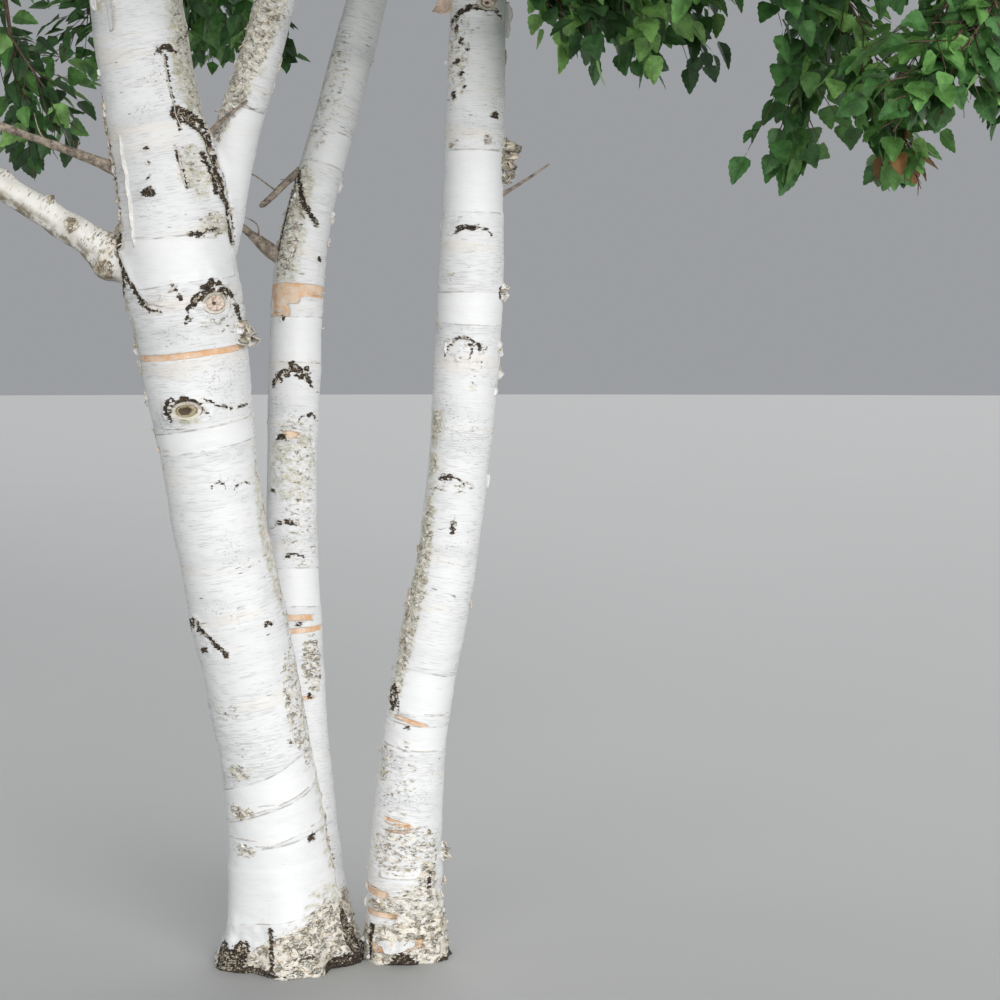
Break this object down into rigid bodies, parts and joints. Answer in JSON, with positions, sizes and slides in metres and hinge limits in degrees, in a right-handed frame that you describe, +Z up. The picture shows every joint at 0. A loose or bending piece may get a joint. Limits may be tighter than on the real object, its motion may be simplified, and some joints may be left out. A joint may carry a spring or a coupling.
{
  "type": "birch tree",
  "caption": "White-barked clump birch: slender stems rising from one root, one of them forked, under a full crown of separate leafy masses.",
  "frame": {"origin": "on the flat cut at the ground, under the middle of the left stem, the main one", "axes": "+Z up, +X to the viewer's right in the picture, +Y away from the viewer"},
  "size_m": [6.0686, 5.9974, 9.9649],
  "materials": {
    "bark": "satin papery white bark with dark cross marks and peeling edges",
    "bough_bark": "satin creamy to brown young bark",
    "dead_wood": "dull weathered grey-brown wood",
    "foliage": "soft green leaves with a slight sheen, on thin brown twigs"
  },
  "bodies": {
    "root": {"bough_high_1": "bough_bark", "bough_high_2": "bough_bark", "bough_high_3": "bough_bark", "bough_left": "bough_bark", "bough_low_left": "bough_bark", "bough_low_right": "bough_bark", "bough_lower_1": "bough_bark", "bough_lower_2": "bough_bark", "bough_lower_3": "bough_bark", "bough_lower_4": "bough_bark", "bough_lower_5": "bough_bark", "bough_middle_1": "bough_bark", "bough_middle_2": "bough_bark", "bough_middle_3": "bough_bark", "bough_middle_4": "bough_bark", "bough_middle_5": "bough_bark", "bough_middle_6": "bough_bark", "bough_upper_1": "bough_bark", "bough_upper_2": "bough_bark", "bough_upper_3": "bough_bark", "bough_upper_4": "bough_bark", "bough_upper_5": "bough_bark", "dead_branch_high": "dead_wood", "dead_branch_left": "dead_wood", "dead_branch_low": "dead_wood", "foliage_high_1": "foliage", "foliage_high_2": "foliage", "foliage_high_3": "foliage", "foliage_left": "foliage", "foliage_low_left": "foliage", "foliage_low_right": "foliage", "foliage_lower_1": "foliage", "foliage_lower_2": "foliage", "foliage_lower_3": "foliage", "foliage_lower_4": "foliage", "foliage_lower_5": "foliage", "foliage_middle_1": "foliage", "foliage_middle_2": "foliage", "foliage_middle_3": "foliage", "foliage_middle_4": "foliage", "foliage_middle_5": "foliage", "foliage_middle_6": "foliage", "foliage_top_back": "foliage", "foliage_top_left": "foliage", "foliage_top_left_fork": "foliage", "foliage_top_right": "foliage", "foliage_upper_1": "foliage", "foliage_upper_2": "foliage", "foliage_upper_3": "foliage", "foliage_upper_4": "foliage", "foliage_upper_5": "foliage", "trunk_back": "bark", "trunk_left": "bark", "trunk_left_fork": "bark", "trunk_right": "bark"}
  },
  "joints": []
}
